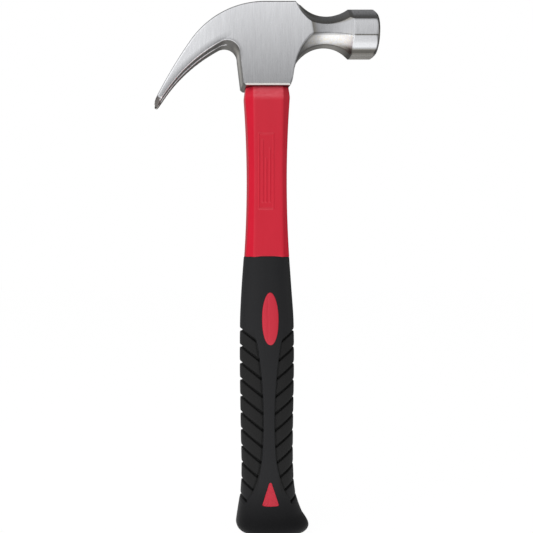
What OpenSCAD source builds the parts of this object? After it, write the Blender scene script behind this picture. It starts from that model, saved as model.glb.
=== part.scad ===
// Curved-claw hammer: a drop-forged steel head bonded to a fibreglass rod, a plastic jacket
// moulded around the rod, and a rubber grip moulded over the jacket's lower half.
// The origin is the centre of the flat butt; +Z runs up the handle, +X to the striking face.

/* [Overall] */
// Height from the butt to the crown of the head
total_h = 325.6; // [310:0.2:340]
// Distance from the handle's axis to the striking face
face_x = 68; // [64:0.5:72]
// Bond line left between glued or moulded pieces
bond = 0.05; // [0.02:0.01:0.1]

/* [Head] */
// Half thickness of the cheeks
cheek_half = 11.75; // [11:0.25:13]
// Radius, seen from above, of the curve that thins the claws towards their tips
claw_side_r = 360; // [320:10:500]
// Height of the crown above the striking axis
crown = 17.6; // [17:0.1:18]
// Depth of the skirt's lower edge below the striking axis
skirt_drop = 33.7; // [32.5:0.1:35.5]
// Half width of the octagonal poll across its upright and level flats
poll_half = 14.2; // [13.8:0.1:14.5]
// Half width of the poll across its slanted flats
poll_slant = 13.7; // [13.4:0.1:14]
// Turn of the neck's and poll's flats about the striking axis, against the cheeks
flats_turn = 4.5; // [0:0.5:6]
// Length of the bevel around the striking face
rim = 2; // [1:0.1:3]
// Radius of the striking face's slight crown
face_r = 220; // [180:10:400]
// Radius of the back of the claws next to the crown
claw_back_r = 55.6; // [54:0.2:57]
// Radius of the back of the claws towards their tips
claw_tail_r = 300; // [270:5:330]
// Radius of the hollow under the claws
claw_under_r = 97.7; // [96:0.1:100]
// Radius of the root where the claws leave the skirt
claw_root_r = 7.8; // [7.5:0.1:8.1]
// Width of the nail slot at the claw tips
slot_tip_w = 7.2; // [6.4:0.2:8.4]
// Width of the nail slot at its closed end
slot_root_w = 2; // [1.6:0.1:3]

/* [Eye and core] */
// Radius of the fibreglass rod
core_r = 7; // [6.5:0.1:7.2]
// Radius of each end of the eye at the skirt
eye_r = 8; // [7.8:0.1:8.4]
// Radius of each end of the eye at the crown
eye_top_r = 9.2; // [8.8:0.1:9.4]
// Offset of the eye's two ends from the handle's axis
eye_reach = 2.5; // [2:0.1:3]
// Depth below the striking axis at which the eye starts to flare
eye_flare_drop = 8; // [6:0.5:10]
// Height below the crown at which the resin and rod finish
eye_recess = 1.5; // [1:0.1:2]

/* [Handle jacket] */
// Half width of the jacket at its waist
waist_half = 11.8; // [11.4:0.1:12.5]
// Half depth of the jacket
jacket_half = 9.9; // [9.5:0.1:10.2]
// Half width of the jacket across its slanted flats at the waist
waist_slant = 13; // [12.6:0.1:13.6]
// Height of the waist above the butt
waist_z = 216; // [205:1:225]
// Radius of the waisted sides, seen from the front
waist_r = 640; // [560:20:800]
// Half width of the part inside the grip
tang_half_w = 11.4; // [10.8:0.1:11.8]
// Half depth of the part inside the grip
tang_half_d = 8.8; // [8.6:0.1:9]
// Corner bevel of the part inside the grip
tang_bevel = 3.5; // [2.5:0.25:4]
// Width of the sunk panel on the front and back
panel_w = 8.8; // [8:0.2:10]
// Height of the sunk panel
panel_h = 46; // [40:1:48]
// Offset of the panel from the handle's axis, towards the claw side
panel_x = 1.4; // [0:0.1:1.8]
// Depth of the panel's sunk border
panel_sink = 0.3; // [0.2:0.1:0.5]

/* [Grip] */
// Height of the grip's upper edge
grip_h = 170; // [160:1:180]
// Edge radius around the butt
butt_r = 5.5; // [4:0.5:6]
// Height at which the jacket starts inside the butt
butt_wall = 7; // [6:0.5:9]
// Squareness of the grip's oval section, 2 being an ellipse
section_power = 2.4; // [2:0.1:2.8]
// Number of chevron grooves on each side
groove_count = 11; // [7:1:12]
// Width of a chevron groove
groove_w = 1.3; // [1:0.1:1.8]
// Depth of a chevron groove
groove_sink = 0.9; // [0.6:0.1:1.2]

/* [Inlays] */
// Width of the long inlay
oval_w = 10; // [9:0.5:11]
// Height of the long inlay
oval_h = 32; // [28:1:34]
// Height of the long inlay's centre
oval_z = 132; // [128:1:134]
// Width of the triangular inlay
triangle_w = 10; // [9:0.5:11]
// Height of the triangular inlay
triangle_h = 14.3; // [12:0.1:15]
// Height of the triangular inlay's base
triangle_z = 18.5; // [16:0.5:20]
// Offset of the inlays from the handle's axis, towards the striking side
inlay_x = 0.7; // [0:0.1:1]
// Radius of the inlays' rounded faces, seen from above
inlay_face_r = 41; // [38:1:44]

/* [Hidden] */

far = 200;
axis_z = total_h - crown;
skirt_z = axis_z - skirt_drop;
tang = [tang_half_w, tang_half_d];
panel = [panel_w, panel_h];
oval = [oval_w, oval_h];
triangle = [triangle_w, triangle_h];

function ray(angle) = [cos(angle), sin(angle)];

// ---- Head outlines, drawn from the striking axis with X to the face and Y up ----

// Each claw curve meets its neighbour on a common normal, so the outline has no corner there.
// The tail's arc is set in by a hair, so that the two arcs cross instead of only touching.
back_centre = [-2.3, crown - claw_back_r];
tail_angle = 144.8;
tail_inset = 0.03;
tail_centre = back_centre - (claw_tail_r - claw_back_r + tail_inset) * ray(tail_angle);
root_centre = [-25.4, -14.2];
root_angle = 118.55;
under_centre = root_centre - (claw_under_r - claw_root_r) * ray(root_angle);

// The claws start to thin here
claws_x = -18;

// The skirt flares from its lower edge up to the root of the claws
skirt_back = -15.3;
skirt_front = 13.3;
skirt_flare = 0.12;

// The skirt's front wall leans out to this corner under the neck
throat = [15.7, -27.3];

// The claws end in a chisel ground from the hollow side
chisel_start = [-65.1, -41.3];
chisel_angle = 231;
tip_drop = 46.2;

// The nail slot starts here and runs towards the tips
slot_start = [-26, -6];
slot_angle = 227.7;

// Waists of the neck's flats: [place along the striking axis, half width there, radius]
top_waist = [37.6, 10.9, 24];
bottom_waist = [35.7, 7.5, 20];
side_waist = [37, 9.3, 25];
top_slant_waist = [36, 9.2, 22.5];
bottom_slant_waist = [36.6, 8.1, 22];

// Flank of the octagonal neck: the space beside it
module neck_waist(waist, poll) {
    translate([waist.x, waist.y + waist.z]) circle(waist.z, $fn = 180);
    translate([waist.x - waist.z, waist.y + waist.z]) square(far);
    translate([waist.x, poll]) square(far);
}

// Outline whose upper and lower flanks are both waisted at the neck
module flank_outline(up, down, poll) {
    difference() {
        translate([-far / 2, -far / 2]) square([far / 2 + face_x, far]);
        neck_waist(up, poll);
        mirror([0, 1]) neck_waist(down, poll);
    }
}

module slanted_flanks() {
    flank_outline(top_slant_waist, bottom_slant_waist, poll_slant);
}

module claw_back() {
    turn = tail_angle + 90;
    intersection() {
        union() {
            translate(back_centre) circle(claw_back_r, $fn = 360);
            intersection() {
                translate(tail_centre) circle(claw_tail_r, $fn = 720);
                polygon([back_centre, back_centre + far * ray(tail_angle),
                         back_centre + far * ray(tail_angle) + far * ray(turn),
                         back_centre + far * ray(turn)]);
            }
        }
        polygon([[back_centre.x, crown + 5], [-far, crown + 5], [-far, -tip_drop], [-50, -tip_drop],
                 [-10, root_centre.y], [back_centre.x, root_centre.y]]);
    }
}

// Open space under the claws, with its rounded root
module claw_hollow() {
    wall_x = root_centre.x + claw_root_r;
    translate(root_centre) circle(claw_root_r, $fn = 96);
    intersection() {
        translate(under_centre) circle(claw_under_r, $fn = 360);
        polygon([root_centre, root_centre + 60 * ray(root_angle), [-far, 40], [-far, -far],
                 [wall_x + skirt_flare * (far + root_centre.y), -far], [wall_x, root_centre.y]]);
    }
    translate(chisel_start) rotate(chisel_angle) square([40, 40]);
}

module side_outline() {
    wall_x = root_centre.x + claw_root_r;
    difference() {
        union() {
            claw_back();
            polygon([[wall_x, root_centre.y], [skirt_back, -skirt_drop], [skirt_front, -skirt_drop],
                     throat, [face_x, throat.y], [face_x, crown], [back_centre.x, crown],
                     [wall_x, 0]]);
        }
        claw_hollow();
    }
}

// Half thickness of the head seen from above, thinning along the claws
function claw_half(x) = cheek_half - pow(min(x - claws_x, 0), 2) / (2 * claw_side_r);

// Cheeks and claws seen from above. Past the neck's waist the head is as wide as the poll.
module plan_outline() {
    waist_x = 37;
    wide = far / 2;
    step = 11;
    claws = [for (x = [claws_x:-step:claws_x - 5 * step]) [x, claw_half(x)]];
    side = concat([[face_x + 1, wide], [waist_x, wide], [waist_x, cheek_half]], claws);
    polygon(concat(side, [for (i = [len(side) - 1:-1:0]) [side[i].x, -side[i].y]]));
}

// Extrudes an outline through the head, turned about the striking axis
module through_head(turn) {
    rotate([90 + turn, 0, 0]) linear_extrude(far, center = true) children();
}

// The nail slot narrows from the tips to a rounded end and is cut square to the claws. Under the
// claws the cut ends short of the skirt's rear wall.
module nail_slot() {
    length = 64;
    above = 25;
    below = 6;
    translate([slot_start.x, 0, slot_start.y]) rotate([0, 360 - slot_angle, 0])
    translate([0, 0, -above]) linear_extrude(above + below) {
        circle(slot_root_w / 2, $fn = 32);
        polygon([[0, -slot_root_w / 2], [length, -slot_tip_w / 2],
                 [length, slot_tip_w / 2], [0, slot_root_w / 2]]);
    }
}

// The eye is straight in the skirt and flares towards the crown; grow widens it all round
module eye(low, high, grow) {
    flare_z = axis_z - eye_flare_drop;
    slope = (eye_top_r - eye_r) / (total_h - flare_z);
    top_r = eye_r + slope * (high - flare_z) + grow;
    low_r = eye_r + grow;
    for (x = [-eye_reach, eye_reach]) {
        translate([x, 0, low]) cylinder(flare_z - low, r = low_r, $fn = 64);
        translate([x, 0, flare_z]) cylinder(high - flare_z, r1 = low_r, r2 = top_r, $fn = 64);
    }
    rotate([90, 0, 90]) linear_extrude(2 * eye_reach, center = true) {
        polygon([[-low_r, low], [low_r, low], [low_r, flare_z], [top_r, high],
                 [-top_r, high], [-low_r, flare_z]]);
    }
}

// Turned bevel round the striking face, open wide enough behind it to clear the whole head
module rim_cone() {
    length = 90;
    face_half = poll_half - rim;
    translate([face_x, 0, 0]) rotate([0, -90, 0]) {
        cylinder(length, r1 = face_half, r2 = face_half + length, $fn = 96);
        translate([0, 0, length - 1]) cylinder(far, r = face_half + length, $fn = 96);
    }
}

module head() {
    color("silver") difference() {
        translate([0, 0, axis_z]) difference() {
            intersection() {
                through_head(0) side_outline();
                through_head(90) plan_outline();
                through_head(-flats_turn) flank_outline(top_waist, bottom_waist, poll_half);
                through_head(90 - flats_turn) flank_outline(side_waist, side_waist, poll_half);
                through_head(45 - flats_turn) slanted_flanks();
                through_head(-45 - flats_turn) slanted_flanks();
                translate([face_x - face_r, 0, 0]) sphere(face_r, $fn = 180);
                rim_cone();
            }
            nail_slot();
        }
        eye(skirt_z - 1, total_h + 1, 0);
    }
}

module fibreglass_core() {
    color("khaki") translate([0, 0, butt_wall + 1]) {
        cylinder(total_h - eye_recess - butt_wall - 1, r = core_r, $fn = 64);
    }
}

module eye_resin() {
    color("dimgray") difference() {
        eye(skirt_z, total_h - eye_recess, -bond);
        translate([0, 0, skirt_z - 1]) cylinder(2 * crown + far, r = core_r + bond, $fn = 64);
    }
}

// ---- Handle jacket ----

// Outline of one pair of the jacket's flats, with a shoulder under the skirt; flare widens both
// ends of the outline from its half width at the waist
module jacket_outline(waist, flare, shoulder, lead) {
    top = skirt_z;
    side = [[waist + flare, grip_h], [waist, waist_z], [waist + flare, top - shoulder],
            [waist + flare - lead, top]];
    polygon(concat(side, [for (i = [3:-1:0]) [-side[i].x, side[i].y]]));
}

// Front view of the jacket, with arcs for its waisted sides
module jacket_front() {
    difference() {
        jacket_outline(waist_half + 1, flare = 1, shoulder = 5, lead = 0.8);
        for (side = [0, 1]) {
            mirror([side, 0]) translate([waist_half + waist_r, waist_z]) circle(waist_r, $fn = 720);
        }
    }
}

module through_handle(turn) {
    rotate([90, 0, turn]) linear_extrude(60, center = true) children();
}

module tang_outline(grow) {
    x = tang.x + grow;
    y = tang.y + grow;
    b = tang_bevel;
    polygon([[x, b - y], [x, y - b], [x - b, y], [b - x, y], [-x, y - b], [-x, b - y],
             [b - x, -y], [x - b, -y]]);
}

// Border of the sunk panel on one face
module panel_border() {
    border = 0.6;
    above_waist = 6;
    translate([-panel_x, 0, waist_z + above_waist]) rotate([90, 0, 0]) linear_extrude(20) difference() {
        square(panel + [border, border], center = true);
        square(panel - [border, border], center = true);
    }
}

module handle_jacket() {
    color("crimson") difference() {
        union() {
            intersection() {
                through_handle(0) jacket_front();
                through_handle(90) jacket_outline(jacket_half, flare = 0.1, shoulder = 7, lead = 1.4);
                through_handle(45) jacket_outline(waist_slant, flare = 0.45, shoulder = 6, lead = 1);
                through_handle(-45) jacket_outline(waist_slant, flare = 0.45, shoulder = 6, lead = 1);
            }
            translate([0, 0, butt_wall]) linear_extrude(grip_h + 1 - butt_wall) tang_outline(0);
        }
        translate([0, 0, butt_wall + 1 - bond]) cylinder(far + total_h, r = core_r + bond, $fn = 64);
        for (side = [0, 1]) {
            mirror([0, side]) translate([0, panel_sink - jacket_half, 0]) panel_border();
        }
    }
}

// ---- Grip ----

// Rows of [height, rear half width, front half width, half depth] that the grip passes through
grip_rows = [[0, 19.1, 25.9, 17.2], [6, 18.8, 25.5, 17.0], [13, 17.8, 21.4, 15.7],
             [24, 16.2, 17.8, 14.2], [38, 15.5, 16.4, 13.4], [60, 15.9, 16.2, 13.3],
             [100, 16.5, 16.8, 13.9], [130, 16.4, 16.6, 13.4], [150, 15.5, 15.3, 12.0],
             [grip_h, 14.1, 13.9, 10.4]];

// Slope of column k at row i, taken across its neighbours
function row_slope(i, k) =
    let (a = max(i - 1, 0), b = min(i + 1, len(grip_rows) - 1))
    (grip_rows[b][k] - grip_rows[a][k]) / (grip_rows[b][0] - grip_rows[a][0]);

// Row that starts the span holding height z
function row_at(z, i = 0) =
    (i >= len(grip_rows) - 2 || z <= grip_rows[i + 1][0]) ? i : row_at(z, i + 1);

// Smooth cubic through the rows for column k
function grip_size(z, k) =
    let (i = row_at(z), p = grip_rows[i], q = grip_rows[i + 1], h = q[0] - p[0], t = (z - p[0]) / h)
    p[k] * (1 + 2 * t) * pow(1 - t, 2) + q[k] * t * t * (3 - 2 * t)
    + h * row_slope(i, k) * t * pow(1 - t, 2) - h * row_slope(i + 1, k) * t * t * (1 - t);

// How far the rounded butt edge draws the section in
function butt_inset(z) = z < butt_r ? butt_r - sqrt(pow(butt_r, 2) - pow(butt_r - z, 2)) : 0;

// One closed section of the grip, widened by grow
function grip_section(z, grow) =
    let (inset = butt_inset(z), e = 2 / section_power)
    [for (a = [0:9:351])
        let (c = cos(a), s = sin(a), half = grip_size(z, c < 0 ? 1 : 2) - inset + grow,
             deep = grip_size(z, 3) - inset + grow)
        [sign(c) * half * pow(abs(c), e), sign(s) * deep * pow(abs(s), e), z]];

module grip_form(grow) {
    levels = concat([0, 0.4, 1.2, 2.4, 4], [for (t = [0:1:24]) butt_r + (grip_h - butt_r) * t / 24]);
    rings = [for (z = levels) grip_section(z, grow)];
    n = len(rings[0]);
    last = len(levels) - 1;
    sides = [for (j = [0:last - 1], i = [0:n - 1], k = [0, 1])
        let (i2 = (i + 1) % n, a = j * n + i, b = j * n + i2, c = a + n, d = b + n)
        k == 0 ? [a, d, b] : [a, c, d]];
    polyhedron([for (ring = rings) each ring],
               concat(sides, [[for (i = [0:n - 1]) i]], [[for (i = [n - 1:-1:0]) last * n + i]]));
}

// Half width of the smooth band between the chevrons
function band_half(z) = 3.7 + 0.00178 * pow(z - 70, 2) + 0.006 * pow(max(0, 50 - z), 2);

// A round-bottomed channel through the grip from point p to point q of its front view
module channel(p, q, w) {
    hull() {
        for (point = [p, q]) {
            translate([point.x, 0, point.y]) rotate([90, 0, 0]) cylinder(60, d = w, center = true, $fn = 6);
        }
    }
}

module groove_pattern() {
    top_z = 125.2;
    pitch = 10.23;
    slope = 0.75;
    edge = 17;
    reach = 25;
    for (side = [0, 1]) {
        mirror([side, 0, 0]) {
            for (i = [0:groove_count - 1]) {
                z = top_z - i * pitch;
                guess = z - slope * (edge - band_half(z - slope * 12));
                inner = min(band_half(guess), edge - 2);
                channel([inner, z - slope * (edge - inner)], [reach, z + slope * (reach - edge)], groove_w);
            }
            // a narrow crease follows the edge of the band
            for (z = [26:6:110]) {
                channel([band_half(z), z], [band_half(z + 6), z + 6], groove_w * 0.7);
            }
        }
    }
}

module oval_outline(grow) {
    side_r = 38;
    intersection() {
        translate([side_r - oval.x / 2 - grow, 0]) circle(side_r, $fn = 180);
        translate([oval.x / 2 + grow - side_r, 0]) circle(side_r, $fn = 180);
        square([2 * oval.x, oval.y + 2 * grow], center = true);
    }
}

module triangle_outline(grow) {
    corner = 1;
    x = triangle.x / 2 - corner;
    hull() {
        for (p = [[-x, corner], [x, corner], [0, triangle.y - corner]]) {
            translate(p) circle(corner + grow, $fn = 24);
        }
    }
}

module inlay_windows(grow) {
    translate([inlay_x, 0, oval_z]) through_handle(0) oval_outline(grow);
    translate([inlay_x, 0, triangle_z]) through_handle(0) triangle_outline(grow);
}

module grip() {
    color("dimgray") difference() {
        grip_form(0);
        translate([0, 0, butt_wall - bond]) linear_extrude(far) tang_outline(bond);
        inlay_windows(bond);
        intersection() {
            groove_pattern();
            difference() {
                grip_form(1);
                grip_form(-groove_sink);
            }
        }
    }
}

// An inlay fills its window down to the jacket; its face is rounded like the grip around it
module inlay(low, high) {
    lean = atan((grip_size(low, 3) - grip_size(high, 3)) / (high - low));
    middle = (low + high) / 2;
    front = (grip_size(low, 3) + grip_size(high, 3)) / 2;
    color("crimson") intersection() {
        translate([0, -tang.y - bond, 0]) rotate([90, 0, 0]) linear_extrude(20) children();
        translate([0, -front, middle]) rotate([-lean, 0, 0]) translate([0, inlay_face_r, 0]) {
            cylinder(60, r = inlay_face_r, center = true, $fn = 360);
        }
    }
}

module oval_inlay() {
    inlay(oval_z - oval.y / 2, oval_z + oval.y / 2) {
        translate([inlay_x, oval_z]) oval_outline(0);
    }
}

module triangle_inlay() {
    inlay(triangle_z, triangle_z + triangle.y) {
        translate([inlay_x, triangle_z]) triangle_outline(0);
    }
}

head();
fibreglass_core();
eye_resin();
handle_jacket();
grip();
oval_inlay();  // front_oval_inlay
mirror([0, 1, 0]) oval_inlay();  // back_oval_inlay
triangle_inlay();  // front_triangle_inlay
mirror([0, 1, 0]) triangle_inlay();  // back_triangle_inlay
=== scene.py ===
"""Claw hammer: the looks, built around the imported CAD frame.

Shapes are worked out in millimetres in the CAD frame (X to the striking face, Z up the handle) and
written to Blender in metres. The forged head is the level set of one distance function, so that its
ground edges are truly round; the handle's pieces are dense lofts with their relief in the mesh.
"""
import math

import bpy
import numpy as np
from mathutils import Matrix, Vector


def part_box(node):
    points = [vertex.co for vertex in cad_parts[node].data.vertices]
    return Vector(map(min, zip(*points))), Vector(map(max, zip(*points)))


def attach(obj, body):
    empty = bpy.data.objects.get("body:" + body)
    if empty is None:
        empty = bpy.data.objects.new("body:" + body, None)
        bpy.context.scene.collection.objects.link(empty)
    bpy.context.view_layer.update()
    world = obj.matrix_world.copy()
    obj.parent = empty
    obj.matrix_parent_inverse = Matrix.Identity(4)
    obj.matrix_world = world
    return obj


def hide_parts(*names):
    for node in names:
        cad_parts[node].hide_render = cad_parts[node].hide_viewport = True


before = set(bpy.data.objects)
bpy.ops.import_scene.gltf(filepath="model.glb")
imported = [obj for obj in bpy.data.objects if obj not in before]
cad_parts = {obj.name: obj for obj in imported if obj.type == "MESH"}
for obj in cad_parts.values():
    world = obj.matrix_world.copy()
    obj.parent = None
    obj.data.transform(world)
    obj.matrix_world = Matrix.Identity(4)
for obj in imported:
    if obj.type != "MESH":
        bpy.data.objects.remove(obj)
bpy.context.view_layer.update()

MM = 0.001
ROOT = "root"
# Clearance that keeps the cast resin from sharing a surface with the steel and the rod
GAP = 0.05


def mm_box(node):
    """Lowest and highest corner of a CAD node, in millimetres."""
    low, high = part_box(node)
    return np.array(low) / MM, np.array(high) / MM


HEAD_LOW, HEAD_HIGH = mm_box("head")
CORE_LOW, CORE_HIGH = mm_box("fibreglass_core")
OVAL_LOW, OVAL_HIGH = mm_box("front_oval_inlay")
TRIANGLE_LOW, TRIANGLE_HIGH = mm_box("front_triangle_inlay")

TOP_Z = HEAD_HIGH[2]
FACE_X = HEAD_HIGH[0]
CROWN = 17.6
AXIS_Z = TOP_Z - CROWN
SKIRT_Z = mm_box("handle_jacket")[1][2]
SKIRT_DROP = AXIS_Z - SKIRT_Z
GRIP_TOP = mm_box("grip")[1][2]
RESIN_TOP = mm_box("eye_resin")[1][2]


# ---------------------------------------------------------------- meshes

def add_piece(name, verts, faces, material, slot, *nodes, normals=None):
    """Make a smooth-shaded mesh piece from millimetre points and stand it in for CAD nodes."""
    mesh = bpy.data.meshes.new(name)
    verts = np.asarray(verts, float) * MM
    mesh.from_pydata([tuple(v) for v in verts], [], [tuple(int(i) for i in f) for f in faces])
    mesh.validate()
    mesh.polygons.foreach_set("use_smooth", np.ones(len(mesh.polygons), bool))
    mesh.update()
    if normals is not None:
        mesh.normals_split_custom_set_from_vertices([tuple(n) for n in normals])
    mesh.materials.append(material)
    piece = bpy.data.objects.new(name, mesh)
    bpy.context.scene.collection.objects.link(piece)
    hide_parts(*nodes)
    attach(piece, ROOT)
    return piece


def loft(rings, cap_low=True, cap_high=True):
    """Points and faces of a closed skin through rings, an array of shape (rows, points, 3)."""
    rings = np.asarray(rings, float)
    rows, n, _ = rings.shape
    index = np.arange(rows * n).reshape(rows, n)
    a, b = index[:-1], np.roll(index, -1, axis=1)[:-1]
    c, d = np.roll(index, -1, axis=1)[1:], index[1:]
    faces = np.stack([a, b, c, d], axis=-1).reshape(-1, 4).tolist()
    verts = rings.reshape(-1, 3)
    for wanted, row, turn in ((cap_low, 0, -1), (cap_high, rows - 1, 1)):
        if wanted:
            centre = len(verts)
            verts = np.vstack([verts, rings[row].mean(axis=0)])
            edge = index[row][::turn]
            faces += [[edge[i], edge[(i + 1) % n], centre] for i in range(n)]
    return verts, faces


# ---------------------------------------------------------------- level sets

def round_max(a, b, r):
    """Intersection of two distances with its outer edge rounded to radius r."""
    inner = np.minimum(np.maximum(a, b), -r)
    return inner + np.hypot(np.maximum(a + r, 0), np.maximum(b + r, 0))


def bevel_max(a, b, size):
    """Intersection of two distances with its outer edge cut at 45 degrees."""
    return np.maximum(np.maximum(a, b), (a + b + size) * math.sqrt(0.5))


def gradient(field, points, step=0.02):
    """Gradient of a field at points, by central differences."""
    out = np.empty_like(points)
    for k in range(3):
        shift = np.zeros(3)
        shift[k] = step
        ahead, behind = points + shift, points - shift
        out[:, k] = (field(*ahead.T) - field(*behind.T)) / (2 * step)
    return out


def sample(field, axes):
    """Values of a field on a grid, worked out in slabs to save memory."""
    values = np.empty([len(axis) for axis in axes], np.float32)
    slab = 16
    for i in range(0, len(axes[0]), slab):
        grid = np.meshgrid(axes[0][i:i + slab], axes[1], axes[2], indexing="ij")
        values[i:i + slab] = field(*grid)
    return values


def crossings(values, k):
    """Where the grid's edges along axis k meet the zero level, the four cells round each of those
    edges, and whether the edge runs into the solid."""
    inside = values < 0
    ahead = [slice(None)] * 3
    behind = [slice(None)] * 3
    ahead[k], behind[k] = slice(1, None), slice(None, -1)
    ahead, behind = tuple(ahead), tuple(behind)
    crossing = inside[behind] != inside[ahead]
    edge = np.argwhere(crossing)
    start = values[behind][crossing].astype(float)
    end = values[ahead][crossing].astype(float)
    place = edge.astype(float)
    place[:, k] += start / (start - end)
    cells = np.array(values.shape) - 1
    p, q = (k + 1) % 3, (k + 2) % 3
    ring = []
    for dp, dq in ((0, 0), (-1, 0), (-1, -1), (0, -1)):
        cell = edge.copy()
        cell[:, p] += dp
        cell[:, q] += dq
        cell = np.clip(cell, 0, cells - 1)
        ring.append((cell[:, 0] * cells[1] + cell[:, 1]) * cells[2] + cell[:, 2])
    return place, np.stack(ring, axis=1), start > 0


def snap(field, points, reach):
    """Move points onto the zero level of a field, and give its unit normals there."""
    for _ in range(4):
        slope = gradient(field, points)
        length = np.maximum((slope ** 2).sum(axis=1), 1e-3)
        move = np.clip(field(*points.T) / length, -reach, reach)
        points = points - slope * move[:, None]
    slope = gradient(field, points)
    return points, slope / np.maximum(np.linalg.norm(slope, axis=1), 1e-6)[:, None]


def surface_net(field, low, high, step):
    """Points, quads and normals of the zero level of field inside the box from low to high."""
    counts = np.ceil((np.asarray(high) - low) / step).astype(int) + 1
    values = sample(field, [low[k] + step * np.arange(counts[k]) for k in range(3)])
    owners, places, quads = [], [], []
    for k in range(3):
        place, ring, inward = crossings(values, k)
        owners.append(ring.T.ravel())
        places.append(np.tile(place, (4, 1)))
        ring[inward] = ring[inward][:, ::-1]
        quads.append(ring)

    # a cell's point is the mean of the places where its edges meet the surface
    keys, inverse = np.unique(np.concatenate(owners), return_inverse=True)
    places = np.concatenate(places)
    count = np.bincount(inverse).astype(float)
    points = np.stack([np.bincount(inverse, places[:, k]) / count for k in range(3)], axis=1)
    points, normals = snap(field, np.asarray(low) + points * step, step)
    return points, np.searchsorted(keys, np.concatenate(quads)), normals


# ---------------------------------------------------------------- forged head

CHEEK = 11.75
CLAWS_X = -18.0
CLAW_SIDE_R = 360.0
FLATS_TURN = math.radians(4.5)
POLL = 14.2
POLL_SLANT = 13.7
RIM = 2.0
FACE_R = 220.0
BACK_R = 55.6
TAIL_R = 300.0
TAIL_ANGLE = 144.8
ROOT_R = 7.8
ROOT_CENTRE = (-25.4, -14.2)
ROOT_ANGLE = 118.55
UNDER_R = 97.7
# Under the hollow, which parts the skirt from the claws
HOLLOW_X = -30.0
SKIRT_FLARE = 0.12
SKIRT_FRONT = 13.3
THROAT = (15.7, -27.3)
THROAT_LEAN = (THROAT[0] - SKIRT_FRONT) / (THROAT[1] + SKIRT_DROP)
CHISEL_START = (-67.0, -44.4)
CHISEL_ANGLE = 231.0
TIP_DROP = 45.6
TIP_POINT = (-70.5, -45.5)
GRIND_X = -50.0
GRIND_HALF = 4.6
GRIND_LEAN = 0.55
SLOT_ORIGIN = (-26.0, -6.0)
SLOT_ANGLE = 227.7
SLOT_ROOT_HALF = 1.0
SLOT_TAPER = 2.6 / 64
SLOT_BELOW = 6.0
LEAD_IN = 2.6
EYE_REACH = 2.5
EYE_R = 8.0
EYE_TOP_R = 9.2
EYE_FLARE_DROP = 8.0
EYE_SLOPE = (EYE_TOP_R - EYE_R) / (CROWN + EYE_FLARE_DROP)

# Waists of the neck's flats: place along the striking axis, half width there, radius
TOP_WAIST = (37.6, 10.9, 24.0)
BOTTOM_WAIST = (35.7, 7.5, 20.0)
SIDE_WAIST = (37.0, 9.3, 25.0)
TOP_SLANT_WAIST = (36.0, 9.2, 22.5)
BOTTOM_SLANT_WAIST = (36.6, 8.1, 22.0)

EDGE_R = 0.4
CREASE_R = 0.5
# A distance so deep in the steel that it never decides the surface
NEVER = -50.0
GRID_STEP = 0.4
GRID_MARGIN = 1.0


def ease(t):
    """Smooth step from 0 to 1."""
    t = np.clip(t, 0, 1)
    return t * t * (3 - 2 * t)


def ray(degrees):
    """Unit vector of the side view at an angle."""
    return math.cos(math.radians(degrees)), math.sin(math.radians(degrees))


def along(x, z, origin, degrees):
    """Distance of a point of the side view from origin, measured along a direction."""
    c, s = ray(degrees)
    return (x - origin[0]) * c + (z - origin[1]) * s


def offset_centre(centre, degrees, distance):
    """Centre of an arc that meets its neighbour's arc on their common normal."""
    c, s = ray(degrees)
    return centre[0] - distance * c, centre[1] - distance * s


BACK_CENTRE = (-2.3, CROWN - BACK_R)
TAIL_CENTRE = offset_centre(BACK_CENTRE, TAIL_ANGLE, TAIL_R - BACK_R)
UNDER_CENTRE = offset_centre(ROOT_CENTRE, ROOT_ANGLE, UNDER_R - ROOT_R)


def outer_curve(x, z):
    """Back of the claws and crown of the head."""
    back = np.hypot(x - BACK_CENTRE[0], z - BACK_CENTRE[1]) - BACK_R
    tail = np.hypot(x - TAIL_CENTRE[0], z - TAIL_CENTRE[1]) - TAIL_R
    curve = np.where(along(x, z, BACK_CENTRE, TAIL_ANGLE + 90) > 0, tail, back)
    return np.where(x > BACK_CENTRE[0], z - CROWN, curve)


def hollow(x, z):
    """Space under the claws, bounded by their underside, the root and the skirt's rear wall."""
    root = ROOT_R - np.hypot(x - ROOT_CENTRE[0], z - ROOT_CENTRE[1])
    under = UNDER_R - np.hypot(x - UNDER_CENTRE[0], z - UNDER_CENTRE[1])
    wall_x = ROOT_CENTRE[0] + ROOT_R + SKIRT_FLARE * (ROOT_CENTRE[1] - z)
    wall = (wall_x - x) / math.hypot(1, SKIRT_FLARE)
    upper = np.where(along(x, z, ROOT_CENTRE, ROOT_ANGLE + 90) > 0, under, root)
    return np.where(z < ROOT_CENTRE[1], np.minimum(wall, under), upper)


def waist(x, u, sizes, poll):
    """Space beside one flank of the neck, whose half width u is least at its waist."""
    centre, low, r = sizes
    circle = r - np.hypot(x - centre, u - low - r)
    return np.maximum(circle, np.minimum(x - centre, u - poll))


def under_neck(x, z, turned_z):
    """Space under the neck and in front of the skirt."""
    wall_x = THROAT[0] + (z - THROAT[1]) * THROAT_LEAN
    front = np.minimum(x - wall_x, THROAT[1] - z)
    return round_max(waist(x, -turned_z, BOTTOM_WAIST, POLL), front, CREASE_R)


def beside(x, z, a, turned_a):
    """Space beside the cheeks, the thinning claws and the upright flats of the neck."""
    neck = waist(x, turned_a, SIDE_WAIST, POLL)
    claw_side = np.hypot(x - CLAWS_X, a + CLAW_SIDE_R - CHEEK) - CLAW_SIDE_R
    cheek = np.where(x < CLAWS_X, claw_side, a - CHEEK)
    cheek = np.where(x < SIDE_WAIST[0], cheek, NEVER)
    grind = a - GRIND_HALF + GRIND_LEAN * along(x, z, TIP_POINT, SLOT_ANGLE)
    grind = np.where(x < GRIND_X, grind / math.hypot(1, GRIND_LEAN), NEVER)
    return round_max(neck, np.maximum(cheek, grind), 0.3)


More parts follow.
